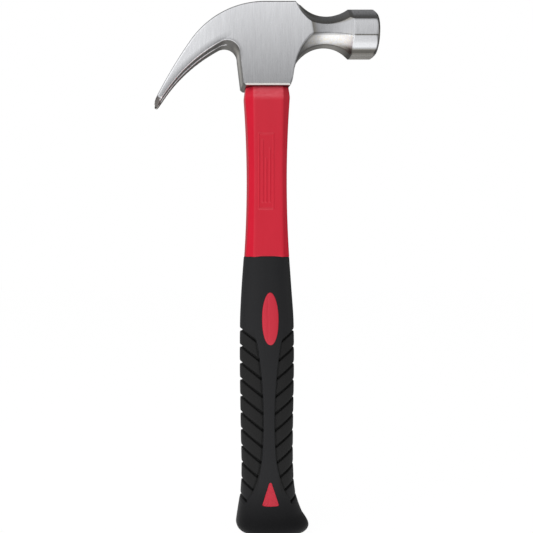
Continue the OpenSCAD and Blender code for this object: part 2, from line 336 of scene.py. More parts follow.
def body_field(x, z, a, turned_a, turned_z, outer):
    """The forging without its face, slot and eye, from its outlines seen from the side and above."""
    under = hollow(x, z)
    below = under_neck(x, z, turned_z)
    beside_head = beside(x, z, a, turned_a)
    chisel = along(x, z, CHISEL_START, CHISEL_ANGLE + 90)
    tip = np.where(along(x, z, CHISEL_START, CHISEL_ANGLE) > -0.5, chisel, NEVER)
    on_skirt = x > HOLLOW_X
    skirt = np.where(on_skirt, -SKIRT_DROP - z, -TIP_DROP - z)
    side_top = round_max(outer, waist(x, turned_z, TOP_WAIST, POLL), CREASE_R)
    side_low = bevel_max(under, skirt, np.where(on_skirt, 1.5, 0.3))
    side_low = round_max(side_low, below, CREASE_R)

    # the claws' lower edges carry a wider ground bevel than the rim's front, the crown a rounded edge
    claw_bevel = 0.45 + 0.15 * ease((-22 - x) / 10)
    rim_bevel = 0.75 - 0.45 * ease((x - 13) / 4)
    crown_edge = EDGE_R + 0.7 * ease((19 - x) / 4)
    body = round_max(side_top, beside_head, crown_edge)
    under_edge = bevel_max(round_max(under, tip, EDGE_R), beside_head, claw_bevel)
    rim_edge = bevel_max(round_max(skirt, below, EDGE_R), beside_head, rim_bevel)
    body = np.maximum(np.maximum(body, side_low), np.maximum(under_edge, rim_edge))
    upper = waist(x, (turned_z + turned_a) * math.sqrt(0.5), TOP_SLANT_WAIST, POLL_SLANT)
    lower = waist(x, (turned_a - turned_z) * math.sqrt(0.5), BOTTOM_SLANT_WAIST, POLL_SLANT)
    return round_max(round_max(body, upper, EDGE_R), lower, EDGE_R)


def slot_field(x, z, a):
    """Nail slot, which narrows from the claws' tips to a rounded end."""
    run = along(x, z, SLOT_ORIGIN, SLOT_ANGLE)
    depth = along(x, z, SLOT_ORIGIN, SLOT_ANGLE + 90)
    taper = (SLOT_ROOT_HALF + SLOT_TAPER * run - a) / math.hypot(1, SLOT_TAPER)
    slot = np.where(run > 0, taper, SLOT_ROOT_HALF - np.hypot(run, a))
    return np.where(depth < SLOT_BELOW, slot, NEVER)


def head_field(x, y, z):
    """Distance from the surface of the forged head, negative in the steel."""
    z = z - AXIS_Z
    a = np.abs(y)
    turned_z = z * math.cos(FLATS_TURN) + y * math.sin(FLATS_TURN)
    turned_a = np.abs(y * math.cos(FLATS_TURN) - z * math.sin(FLATS_TURN))
    outer = outer_curve(x, z)
    body = body_field(x, z, a, turned_a, turned_z, outer)

    rim = (np.hypot(a, z) - (POLL - RIM) - (FACE_X - x)) * math.sqrt(0.5)
    face = np.sqrt((x - FACE_X + FACE_R) ** 2 + a * a + z * z) - FACE_R
    body = round_max(body, round_max(rim, face, EDGE_R), EDGE_R)

    # the slot has a ground lead-in along the backs of the claws
    slot = slot_field(x, z, a)
    body = round_max(body, slot, EDGE_R)
    body = np.maximum(body, (outer + slot + LEAD_IN) * math.sqrt(0.5))

    eye_r = EYE_R + EYE_SLOPE * np.maximum(z + EYE_FLARE_DROP, 0)
    eye = eye_r - np.hypot(np.maximum(np.abs(x) - EYE_REACH, 0), y)
    return round_max(body, eye, CREASE_R)


# ---------------------------------------------------------------- handle

INLAY_X = (OVAL_LOW[0] + OVAL_HIGH[0]) / 2

# Rows of height, rear half width, front half width and half depth that the grip passes through
GRIP_ROWS = np.array([[0, 19.1, 25.9, 17.2], [6, 18.8, 25.5, 17.0], [13, 17.8, 21.4, 15.7],
                      [24, 16.2, 17.8, 14.2], [38, 15.5, 16.4, 13.4], [60, 15.9, 16.2, 13.3],
                      [100, 16.5, 16.8, 13.9], [130, 16.4, 16.6, 13.4], [150, 15.5, 15.3, 12.0],
                      [170, 14.1, 13.9, 10.4]])
BUTT_R = 5.5
SECTION_POWER = 2.4


def grip_size(z, column):
    """Smooth cubic through one column of the grip's rows."""
    heights, sizes = GRIP_ROWS[:, 0], GRIP_ROWS[:, column]
    last = len(heights) - 1
    before = np.maximum(np.arange(last + 1) - 1, 0)
    after = np.minimum(np.arange(last + 1) + 1, last)
    slopes = (sizes[after] - sizes[before]) / (heights[after] - heights[before])
    i = np.clip(np.searchsorted(heights, z, side="right") - 1, 0, last - 1)
    h = heights[i + 1] - heights[i]
    t = (z - heights[i]) / h
    return (sizes[i] * (1 + 2 * t) * (1 - t) ** 2 + sizes[i + 1] * t * t * (3 - 2 * t)
            + h * slopes[i] * t * (1 - t) ** 2 - h * slopes[i + 1] * t * t * (1 - t))


def butt_inset(z):
    """How far the rounded edge of the butt draws the section in."""
    return BUTT_R - np.sqrt(BUTT_R ** 2 - np.clip(BUTT_R - z, 0, BUTT_R) ** 2)


def grip_depth_at(x, z):
    """Half depth of the grip's smooth surface over a point of its front view."""
    half = np.where(x < 0, grip_size(z, 1), grip_size(z, 2)) - butt_inset(z)
    deep = grip_size(z, 3) - butt_inset(z)
    share = np.clip(np.abs(x) / half, 0, 1) ** SECTION_POWER
    return deep * (1 - share) ** (1 / SECTION_POWER)


GROOVE_TOP = 125.2
GROOVE_PITCH = 10.23
GROOVE_COUNT = 11
GROOVE_SLOPE = 0.75
GROOVE_EDGE = 17.0
GROOVE_W = 1.25
GROOVE_SINK = 1.35
BAND_HALF = 3.7
BAND_MIDDLE_Z = 70.0
BAND_SPREAD = 0.00178


def band_half(z):
    """Half width of the smooth band between the chevrons."""
    spread = BAND_SPREAD * (z - BAND_MIDDLE_Z) ** 2
    return BAND_HALF + spread + 0.006 * np.maximum(0, 50 - z) ** 2


def grip_relief(x, z):
    """How far the grip's surface sinks at a point of its front view: pads, grooves, band edge."""
    a = np.abs(x)
    level = (GROOVE_TOP - z - GROOVE_SLOPE * (GROOVE_EDGE - a)) / GROOVE_PITCH
    nearest = np.clip(np.round(level), 0, GROOVE_COUNT - 1)
    slant = 1 / math.hypot(1, GROOVE_SLOPE)
    across = np.abs(level - nearest) * GROOVE_PITCH * slant
    beyond = a - band_half(z)
    in_pads = ease(beyond / 0.5) * ease((level + 0.2) / 0.15) * ease((10.35 - level) / 0.3)
    floor = np.clip((GROOVE_W / 2 - across) / 0.34 + 0.5, 0, 1)
    groove = ease(floor) * GROOVE_SINK
    groove = groove * ease((beyond + 0.2) / 0.4)
    shoulder = np.exp(-(across / 1.15) ** 2) * 0.22
    middle = (level > 0) & (level < GROOVE_COUNT - 1)
    pillow = np.where(middle, shoulder, shoulder * 0.6) * ease(beyond / 0.6)
    step = 0.42 * np.exp(-np.maximum(beyond, 0) / 3.2) * ease(beyond / 0.45 + 0.3) * in_pads
    crease = 0.8 * np.exp(-(beyond / 0.42) ** 2) * ease((z - 21) / 6) * ease((119 - z) / 2.5)
    return groove + pillow + step + crease


OVAL_CENTRE_Z = (OVAL_LOW[2] + OVAL_HIGH[2]) / 2
OVAL_HALF = (OVAL_HIGH[0] - OVAL_LOW[0]) / 2, (OVAL_HIGH[2] - OVAL_LOW[2]) / 2


def oval_edge(t):
    """Point on the long inlay's outline for t from 0 to 1: pointed top, blunt foot."""
    angle = 2 * math.pi * t
    up = np.cos(angle)
    side = np.sin(angle)
    reach = OVAL_HALF[0] * side
    height = OVAL_HALF[1] * np.sign(up) * np.abs(up) ** 0.92
    narrow = 1 - 0.10 * np.maximum(up, 0) ** 2 + 0.06 * np.maximum(-up, 0) ** 2
    return INLAY_X + reach * narrow, OVAL_CENTRE_Z + height


def triangle_edge(t):
    """Point on the triangular inlay's outline for t from 0 to 1, with rounded corners."""
    half = (TRIANGLE_HIGH[0] - TRIANGLE_LOW[0]) / 2
    low, high = TRIANGLE_LOW[2], TRIANGLE_HIGH[2]
    r, bow = 0.9, 0.45
    corners = np.array([[0, high - r * 1.15], [half - r, low + r], [r - half, low + r]])
    pieces = []
    for i in range(3):
        before, here, after = corners[i - 1], corners[i], corners[(i + 1) % 3]
        d0, d1 = here - before, after - here
        a0 = math.atan2(d0[1], d0[0]) + math.pi / 2
        a1 = math.atan2(d1[1], d1[0]) + math.pi / 2
        while a1 > a0:
            a1 -= 2 * math.pi
        for angle in np.linspace(a0, a1, 14):
            pieces.append(here + r * np.array([math.cos(angle), math.sin(angle)]))
        start, end = pieces[-1], after + r * np.array([math.cos(a1), math.sin(a1)])
        for share in np.linspace(0, 1, 30)[1:-1]:
            pieces.append(start + (end - start) * share)
    pieces = np.array(pieces)
    # the lower side bows outwards, and hangs lowest in its middle
    pieces[:, 1] += np.where(pieces[:, 1] < low + 0.5, bow * (pieces[:, 0] / half) ** 2, 0)
    spot = np.arange(len(t)) * len(pieces) // len(t)
    return INLAY_X + pieces[spot, 0], pieces[spot, 1]


def make_grip(material):
    """Rubber grip with its chevron grooves in the mesh, and their depth kept for the painted shade in
    the material.
    """
    rows = np.concatenate([BUTT_R * (1 - np.cos(np.linspace(0, math.pi / 2, 22))),
                           np.arange(BUTT_R + 0.28, GRIP_TOP - 0.6, 0.28),
                           [GRIP_TOP - 0.5, GRIP_TOP - 0.25, GRIP_TOP - 0.08, GRIP_TOP]])
    columns = 480
    turn = np.arange(columns) * 2 * math.pi / columns
    z, turn = np.meshgrid(rows, turn, indexing="ij")
    c, s = np.cos(turn), np.sin(turn)
    inset = butt_inset(z)
    lip = 0.5 - np.sqrt(np.maximum(0.25 - np.clip(z - GRIP_TOP + 0.5, 0, 0.5) ** 2, 0))
    half = np.where(c < 0, grip_size(z, 1), grip_size(z, 2)) - inset - lip
    deep = grip_size(z, 3) - inset - lip - 0.02
    x = np.sign(c) * half * np.abs(c) ** (2 / SECTION_POWER)
    y = np.sign(s) * deep * np.abs(s) ** (2 / SECTION_POWER)
    sink = grip_relief(x, z) * ease((z - 8) / 8)
    nx = np.sign(c) * np.abs(x / half) ** (SECTION_POWER - 1) / half
    ny = np.sign(s) * np.abs(y / deep) ** (SECTION_POWER - 1) / deep
    length = np.hypot(nx, ny)
    x = x - sink * nx / length
    y = y - sink * ny / length
    verts, faces = loft(np.stack([x, y, z], axis=-1))
    piece = add_piece("rubber_grip", verts, faces, material, "grip_rubber", "grip")
    depth = np.zeros(len(verts), np.float32)
    depth[:sink.size] = sink.ravel()
    piece.data.attributes.new("depth", "FLOAT", "POINT").data.foreach_set("value", depth)
    return piece


INLAY_CREASE_X = -0.7


def make_inlay(name, cad_node, edge, mirrored, material):
    """A slightly proud inlay: rings shrink from its outline to its middle, over the grip."""
    count = 180
    t = np.arange(count) / count
    ex, ez = edge(t)
    cx, cz = ex.mean(), ez.mean()
    # shares of the outline's size, with the height above the grip
    profile = [(1.0, -2.2), (1.0, -0.25), (0.995, -0.02), (0.975, 0.12), (0.94, 0.2), (0.88, 0.25),
               (0.75, 0.27), (0.6, 0.27), (0.45, 0.27), (0.3, 0.27), (0.15, 0.27), (0.03, 0.27)]
    rings = []
    for share, proud in profile:
        x = cx + (ex - cx) * share
        z = cz + (ez - cz) * share
        crease = 0.16 * np.exp(-((x - INLAY_CREASE_X) / 0.5) ** 2) * (share < 0.9)
        y = -(grip_depth_at(x, z) + proud - crease)
        rings.append(np.stack([x, y, z], axis=-1))
    rings = np.array(rings)
    if mirrored:
        rings = (rings * [1, -1, 1])[:, ::-1]
    return add_piece(name, *loft(rings), material, "inlay_rubber", cad_node)


PANEL_HALF = 4.4, 23.0
PANEL_X = -1.4
PANEL_Z = 222.0
WAIST_Z = 216.0
WAIST_HALF = 11.8
WAIST_DEEP = 9.9
WAIST_SLANT = 13.0
SHOULDER_H = 6.5
# A high power keeps the corners between the jacket's flats nearly sharp
CORNER_POWER = 46


def jacket_sizes(z):
    """Half width, half depth and slanted half width of the jacket at height z."""
    shoulder = np.clip((z - (SKIRT_Z - SHOULDER_H)) / SHOULDER_H, 0, 1)
    half = WAIST_HALF + (z - WAIST_Z) ** 2 / 1280 - 1.3 * shoulder ** 1.2
    deep = WAIST_DEEP - 1.5 * shoulder ** 1.15
    flare = np.abs(z - WAIST_Z) / np.where(z > WAIST_Z, SKIRT_Z - 6 - WAIST_Z, WAIST_Z - GRIP_TOP)
    slant = WAIST_SLANT + 0.45 * flare ** 1.6 - 1.15 * shoulder ** 1.2
    return half, deep, slant


def panel_relief(x, z):
    """Raised border and plain bars of the panel on the jacket's face."""
    x = x - PANEL_X
    dx = np.abs(x) - PANEL_HALF[0]
    dz = np.abs(z - PANEL_Z) - PANEL_HALF[1]
    edge = np.where((dx > 0) & (dz > 0), np.hypot(dx, dz), np.maximum(dx, dz))
    lift = 0.26 * np.exp(-(edge / 0.32) ** 4)
    for bar_x, low, high in ((-2.2, -19, 19), (0.0, -19, 8), (2.2, -19, 14)):
        across = np.abs(x - bar_x) - 0.42
        ends = np.abs(z - PANEL_Z - (low + high) / 2) - (high - low) / 2
        inside = np.maximum(across, ends)
        lift = lift + 0.22 * ease(0.5 - inside / 0.5)
    return lift


def make_jacket(material):
    """Plastic jacket: eight flats that meet on slightly rounded corners, with a raised panel."""
    rows = np.concatenate([[GRIP_TOP - 1.5, GRIP_TOP - 0.5], np.arange(GRIP_TOP, SKIRT_Z - 0.5, 0.35),
                           [SKIRT_Z - 0.4, SKIRT_Z - 0.15, SKIRT_Z - 0.03]])
    columns = 420
    turn = np.arange(columns) * 2 * math.pi / columns
    z, turn = np.meshgrid(rows, turn, indexing="ij")
    half, deep, slant = jacket_sizes(z)
    flats = [(0, half), (90, deep), (180, half), (270, deep)]
    flats += [(a, slant) for a in (45, 135, 225, 315)]
    total = 0
    for angle, size in flats:
        total = total + np.maximum(np.cos(turn - math.radians(angle)) / size, 0) ** CORNER_POWER
    r = total ** (-1 / CORNER_POWER)
    tuck = np.where(z < GRIP_TOP, 1.2, 0) + 0.35 * np.clip((z - SKIRT_Z + 0.4) / 0.37, 0, 1) ** 2
    r = r - tuck
    x, y = r * np.cos(turn), r * np.sin(turn)
    face = ease((np.abs(y) - deep + 1.2) / 0.8)
    y = y + np.sign(y) * panel_relief(x, z) * face
    verts, faces = loft(np.stack([x, y, z], axis=-1))
    return add_piece("moulded_jacket", verts, faces, material, "jacket_plastic", "handle_jacket")


MENISCUS = 0.55


def make_resin(material):
    """Cast resin that fills the eye around the rod, with a meniscus at its edges."""
    count = 144
    turn = np.arange(count) * 2 * math.pi / count
    c, s = np.cos(turn), np.sin(turn)
    core = CORE_HIGH[0] + GAP
    flare_z = AXIS_Z - EYE_FLARE_DROP

    def ring(share, z):
        """A ring at height z, part of the way from the rod to the eye's wall."""
        outer_r = EYE_R - GAP + EYE_SLOPE * max(z - flare_z, 0)
        ox, oy = np.sign(c) * EYE_REACH * (np.abs(c) > 1e-9) + outer_r * c, outer_r * s
        x, y = core * c + (ox - core * c) * share, core * s + (oy - core * s) * share
        return np.stack([x, y, np.full(count, z)], axis=-1)

    path = [(0.0, SKIRT_Z), (1.0, SKIRT_Z), (1.0, flare_z)]
    path += [(1.0, RESIN_TOP - 6), (1.0, RESIN_TOP - 0.6), (1.0, RESIN_TOP)]
    for t in np.linspace(0.04, 0.96, 14):
        path.append((1 - t, RESIN_TOP - MENISCUS * math.sin(math.pi * t) ** 0.7))
    path += [(0.0, RESIN_TOP), (0.0, RESIN_TOP - 6), (0.0, flare_z), (0.0, SKIRT_Z)]
    rings = [ring(share, z) for share, z in path]
    verts, faces = loft(rings, cap_low=False, cap_high=False)
    return add_piece("cast_resin", verts, faces, material, "resin", "eye_resin")


def make_core(material):
    """Fibreglass rod with a sawn, slightly broken edge at its top."""
    count = 128
    turn = np.arange(count) * 2 * math.pi / count
    r = CORE_HIGH[0]
    low, high = CORE_LOW[2], CORE_HIGH[2]
    steps = [(r - 0.4, low), (r, low + 0.4)] + [(r, z) for z in np.linspace(low + 4, high - 2, 40)]
    steps += [(r, high - 0.4), (r - 0.12, high - 0.12), (r - 0.4, high)]
    steps += [(r * k, high) for k in (0.8, 0.6, 0.4, 0.2, 0.05)]
    rings = [np.stack([q * np.cos(turn), q * np.sin(turn), np.full(count, z)], axis=-1)
             for q, z in steps]
    return add_piece("glass_rod", *loft(rings), material, "fibreglass", "fibreglass_core")


# ---------------------------------------------------------------- materials

STEEL_DARK = (0.51, 0.515, 0.53, 1)
STEEL_PALE = (0.70, 0.705, 0.725, 1)
STEEL_WARMTH = (1.03, 0.98, 0.87)
STEEL_WORN_HIGHLIGHT = (0.62, 0.61, 0.59, 1)
# painted dark reflection on the claws' tips
TIP_PAINTED_DARK = (0.13, 0.12, 0.115, 1)
JACKET_REDS = (0.585, 0.010, 0.031, 1), (0.54, 0.007, 0.026, 1)
INLAY_REDS = (0.535, 0.014, 0.036, 1), (0.495, 0.010, 0.03, 1)
SCUFF_AND_SHEEN_RED = (0.68, 0.085, 0.115, 1)
BAND_BLACK = (0.0062, 0.0065, 0.0078, 1)
PAD_BLACK = (0.0045, 0.0045, 0.0044, 1)
DUSTY_BLACK = (0.009, 0.009, 0.0095, 1)
BUTT_BLACK = (0.0018, 0.0018, 0.0024, 1)
GROOVE_PAINTED_SHADE = (0.001, 0.001, 0.001, 1)
RESIN_BROWNS = (0.045, 0.04, 0.035, 1), (0.085, 0.075, 0.06, 1)
GLASS_STRAWS = (0.62, 0.52, 0.27, 1), (0.8, 0.74, 0.5, 1)


def new_material(name):
    """A material with its nodes, its links and its Principled shader."""
    material = bpy.data.materials.new(name)
    material.use_nodes = True
    tree = material.node_tree
    return material, tree, tree.nodes["Principled BSDF"]


def node(tree, kind, inputs=None, **settings):
    """Add a node, set its properties, and link or set its inputs."""
    made = tree.nodes.new(kind)
    for key, value in settings.items():
        setattr(made, key, value)
    for key, value in (inputs or {}).items():
        if isinstance(value, bpy.types.NodeSocket):
            tree.links.new(value, made.inputs[key])
        else:
            made.inputs[key].default_value = value
    return made


def position(tree, scale):
    """Position in millimetres, stretched by scale along each axis."""
    geometry = node(tree, "ShaderNodeTexCoord")
    factors = tuple(k / MM for k in scale)
    return node(tree, "ShaderNodeMapping", {"Vector": geometry.outputs["Object"], "Scale": factors})


def noise(tree, scale, detail=4.0, rough=0.6):
    """Fractal noise, with a frequency per millimetre for each axis."""
    place = position(tree, scale)
    return node(tree, "ShaderNodeTexNoise", {"Vector": place.outputs[0], "Scale": 1.0,
                                             "Detail": detail, "Roughness": rough}).outputs["Fac"]


def remap(tree, value, low, high, out_low, out_high):
    """Clamped linear map from low..high to out_low..out_high."""
    return node(tree, "ShaderNodeMapRange", {"Value": value, "From Min": low, "From Max": high,
                                             "To Min": out_low, "To Max": out_high}).outputs[0]


def share_of(tree, value, start, end):
    """How far value has come from start to end, kept between 0 and 1."""
    return remap(tree, value, start, end, 0.0, 1.0)


def math_node(tree, operation, *values):
    """One math node; values may be sockets or numbers."""
    return node(tree, "ShaderNodeMath", dict(enumerate(values)), operation=operation).outputs[0]


# Short names for the sums that the materials are made of

def plus(tree, a, b):
    return math_node(tree, "ADD", a, b)


def minus(tree, a, b):
    return math_node(tree, "SUBTRACT", a, b)


def times(tree, a, b):
    return math_node(tree, "MULTIPLY", a, b)


def larger(tree, a, b):
    return math_node(tree, "MAXIMUM", a, b)


def magnitude(tree, a):
    return math_node(tree, "ABSOLUTE", a)


def hypotenuse(tree, a, b):
    return math_node(tree, "SQRT", plus(tree, times(tree, a, a), times(tree, b, b)))


def blend(tree, share, a, b):
    """Value between a and b."""
    return node(tree, "ShaderNodeMix", {0: share, 2: a, 3: b}).outputs[0]


def separate(tree, vector):
    """X, Y and Z of a vector."""
    made = node(tree, "ShaderNodeSeparateXYZ", {"Vector": vector})
    return made.outputs["X"], made.outputs["Y"], made.outputs["Z"]


def vector_math(tree, operation, inputs):
    """One vector math node."""
    return node(tree, "ShaderNodeVectorMath", inputs, operation=operation).outputs[0]


def mix_colour(tree, share, a, b):
    """Colour between a and b, which may be sockets or tuples."""
    mixer = node(tree, "ShaderNodeMix", data_type="RGBA")
    for key, value in (("Factor", share), ("A", a), ("B", b)):
        socket = [s for s in mixer.inputs if s.name == key and s.type in ("VALUE", "RGBA")]
        socket = socket[0] if key == "Factor" else socket[-1]
        if isinstance(value, bpy.types.NodeSocket):
            tree.links.new(value, socket)
        else:
            socket.default_value = value
    return [s for s in mixer.outputs if s.type == "RGBA"][0]


def bump(tree, height, distance, strength=1.0, normal=None):
    """Normal of a relief whose full height stands for distance millimetres."""
    inputs = {"Height": height, "Distance": distance * MM, "Strength": strength}
    if normal is not None:
        inputs["Normal"] = normal
    return node(tree, "ShaderNodeBump", inputs).outputs[0]


def ramp(tree, value, low, high, steps):
    """A smooth grey ramp of value from low to high, with steps of (place, level)."""
    made = node(tree, "ShaderNodeValToRGB", {"Fac": remap(tree, value, low, high, 0, 1)})
    elements = made.color_ramp.elements
    while len(elements) < len(steps):
        elements.new(0.5)
    for element, (where, level) in zip(elements, steps):
        element.position = (where - low) / (high - low)
        element.color = (level, level, level, 1)
    return made.outputs["Color"]


def distance_from(tree, x, z, centre):
    """Distance in millimetres from a point of the side view, given from the striking axis."""
    return hypotenuse(tree, minus(tree, x, centre[0]), minus(tree, z, centre[1] + AXIS_Z))


def inner_faces(tree):
    """Shares of a place on the faces under the claws and on the skirt's rear wall."""
    x, y, z = separate(tree, node(tree, "ShaderNodeNewGeometry").outputs["True Normal"])
    sideways = share_of(tree, magnitude(tree, y), 0.6, 0.3)
    down = share_of(tree, z, -0.1, -0.5)
    back = times(tree, share_of(tree, x, -0.6, -0.9), share_of(tree, z, 0.3, 0.15))
    return times(tree, sideways, down), times(tree, sideways, back)


def hollow_painted_shade(tree, x, z, out, under_share, wall_share):
    """Painted light and shade under the claws: a painted highlight and a painted dark line along the
    claws' lower edge, painted shade at the root, streaky painted shade on the faces under the claws,
    and painted light fading to shade across the skirt's rear wall.
    """
    from_arc = minus(tree, distance_from(tree, x, z, UNDER_CENTRE), UNDER_R)
    # painted highlight, then a painted dark line of shade, along the claws' lower edge
    edge = ramp(tree, from_arc, -1, 5, [(-1, 1.1), (0.5, 1.1), (0.75, 0.5), (4.2, 1.0), (5, 1.0)])
    tone = blend(tree, share_of(tree, x, -22.0, -32.0), 1.0, edge)
    from_root = minus(tree, distance_from(tree, x, z, ROOT_CENTRE), ROOT_R)
    # painted shade in the crease at the root of the claws
    tone = times(tree, tone, remap(tree, from_root, 0.4, 2.2, 0.7, 1.0))
    streaks = noise(tree, (0.22, 1.6, 0.22), 3, 0.65)
    # painted shade on the faces that point down under the claws, broken into streaks
    tone = blend(tree, under_share, tone, remap(tree, streaks, 0.35, 0.65, 0.31, 0.67))
    # painted light in the middle of the skirt's rear wall, fading to painted shade at its sides
    wall = ramp(tree, out, 0, 12, [(0, 1.35), (3, 1.3), (6, 0.8), (8.5, 0.42), (12, 0.42)])
    wall = times(tree, wall, remap(tree, streaks, 0.35, 0.65, 0.85, 1.15))
    return blend(tree, wall_share, tone, wall)


# Tones of painted light and shade round the striking axis, from straight down (-90 degrees) to straight
# up (90 degrees)
POLL_PAINTED_LIGHT = [(-90, 1.25), (-73, 1.4), (-70, 0.4), (-66, 0.16), (-60, 0.2), (-56, 0.6), (-51, 1.2),
              (-42, 1.15), (-35, 0.95), (-22.5, 0.85), (-20, 0.3), (-17.5, 0.9), (14, 1.05),
              (20, 0.65), (23, 0.5), (32, 0.6), (44, 1.1), (60, 1.5), (90, 1.2)]
NECK_PAINTED_LIGHT = [(-90, 1.0), (-72, 0.9), (-67, 0.4), (-60, 0.7), (-52, 1.0), (-35, 1.3), (-22, 1.3),
              (-18, 0.75), (18, 0.72), (24, 0.45), (50, 0.6), (90, 0.8)]


def turned_angle(tree, out, up):
    """Angle round the striking axis in degrees, measured from the turned flats."""
    c, s = math.cos(FLATS_TURN), math.sin(FLATS_TURN)
    turned_up = plus(tree, times(tree, up, c), times(tree, out, s))
    turned_out = minus(tree, times(tree, out, c), times(tree, up, s))
    angle = math_node(tree, "ARCTAN2", turned_up, magnitude(tree, turned_out))
    return math_node(tree, "DEGREES", angle)


def flats_painted_light(tree, x, out, angle):
    """Painted light and shade on the neck's and poll's flats by the angle they face, with painted shade
    in the creases where the neck meets them.
    """
    # painted shade in the creases beside the cheeks
    crease = remap(tree, magnitude(tree, out), CHEEK - 2.0, CHEEK - 0.4, 1.0, 0.5)
    crease = blend(tree, share_of(tree, x, 33.0, 36.0), crease, 1.0)
    on_neck = times(tree, ramp(tree, angle, -90, 90, NECK_PAINTED_LIGHT), crease)
    # painted shade on the upward flats close to the crown
    shoulder = remap(tree, angle, 48.0, 60.0, 1.0, 0.25)
    on_neck = times(tree, on_neck, blend(tree, share_of(tree, x, 34.0, 24.0), 1.0, shoulder))
    on_poll = ramp(tree, angle, -90, 90, POLL_PAINTED_LIGHT)
    return blend(tree, share_of(tree, x, 51.3, 52.0), on_neck, on_poll)


def neck_painted_light(tree, x, out, z):
    """Painted light and shade on the neck and poll and on the bevel of the striking face, painted shade
    in a pocket beside the face, and the turned rings of the striking face.
    """
    up = minus(tree, z, AXIS_Z)
    angle = turned_angle(tree, out, up)
    tone = flats_painted_light(tree, x, out, angle)
    across = hypotenuse(tree, up, out)
    on_bevel = times(tree, share_of(tree, across, POLL - RIM, POLL - RIM + 0.4),
                     share_of(tree, x, FACE_X - RIM - 0.1, FACE_X - RIM + 0.4))
    # painted light and shade on the face's bevel, by the angle it faces
    tone = blend(tree, on_bevel, tone, remap(tree, angle, -60.0, 0.0, 0.7, 0.12))
    # painted shade in a pocket on the lower flats next to the face
    pocket = ramp(tree, x, 42, 53, [(42, 1), (47, 0.6), (50, 0.2), (51.4, 0.2), (52.2, 1)])
    tone = times(tree, tone, blend(tree, share_of(tree, angle, -48.0, -60.0), 1.0, pocket))
    on_face = times(tree, share_of(tree, x, FACE_X - 1.2, FACE_X - 0.9),
                    share_of(tree, across, POLL - RIM - 0.1, POLL - RIM - 0.5))
    rings = math_node(tree, "SINE", times(tree, across, 14.0))
    return blend(tree, on_face, tone, plus(tree, times(tree, rings, 0.05), 0.95))


def neck_share(tree, x, out):
    """Share of a place on the neck or poll, outside the cheeks' planes."""
    cheek = times(tree, share_of(tree, out, CHEEK - 0.5, CHEEK - 0.1), share_of(tree, x, 40.0, 36.0))
    return larger(tree, minus(tree, share_of(tree, x, 18.0, 20.0), cheek), 0.0)


def cheek_painted_light(tree, x, z, out, under_share, wall_share):
    """Painted light on the cheeks and claws, paler towards the crown, the painted shade under the
    claws, and a painted dark line of shade along the crown.
    """
    # painted light: paler towards the crown and over the claws
    tone = remap(tree, z, SKIRT_Z, TOP_Z, 0.78, 1.36)
    tone = blend(tree, share_of(tree, x, -16.0, -40.0), tone, 1.36)
    tone = times(tree, tone, hollow_painted_shade(tree, x, z, out, under_share, wall_share))
    # painted dark line of shade along the crown's edge
    crown_edge = times(tree, share_of(tree, z, TOP_Z - 1.0, TOP_Z - 0.5),
                       share_of(tree, out, CHEEK - 1.4, CHEEK - 1.1))
    return blend(tree, crown_edge, tone, 0.45)


def warm_share(tree, x, z, tone, on_neck, inner):
    """Share of a warmer tint: a painted warm reflection on the painted shade and on the faces under the
    claws, and specks on the neck's flank.
    """
    specks = share_of(tree, noise(tree, (0.8, 0.8, 0.8), 4), 0.42, 0.6)
    flank = times(tree, share_of(tree, z, AXIS_Z - 1.0, AXIS_Z - 4.0), on_neck)
    flank = times(tree, flank, share_of(tree, x, 51.5, 50.0))
    # painted warm reflection where the painted shade is darkest and on the faces under the claws
    dark = larger(tree, share_of(tree, tone, 0.64, 0.4), times(tree, inner, 0.8))
    return larger(tree, dark, times(tree, specks, flank))


def dark_tip_share(tree, x, z):
    """Share of a place on the claws' tips, where a dark reflection is painted on."""
    c, s = ray(SLOT_ANGLE)
    reach = plus(tree, times(tree, x, c), times(tree, z, s))
    tip = TIP_POINT[0] * c + (TIP_POINT[1] + AXIS_Z) * s
    return share_of(tree, reach, tip - 6.8, tip - 5.8)


def rim_wear_and_highlight_share(tree, z):
    """Share of a place on the bright edge of the skirt's rim: worn steel and a painted highlight."""
    sharp_edge = node(tree, "ShaderNodeNewGeometry").outputs["Pointiness"]
    near_rim = share_of(tree, z, SKIRT_Z + 4.0, SKIRT_Z + 2.0)
    return times(tree, share_of(tree, sharp_edge, 0.52, 0.6), near_rim)


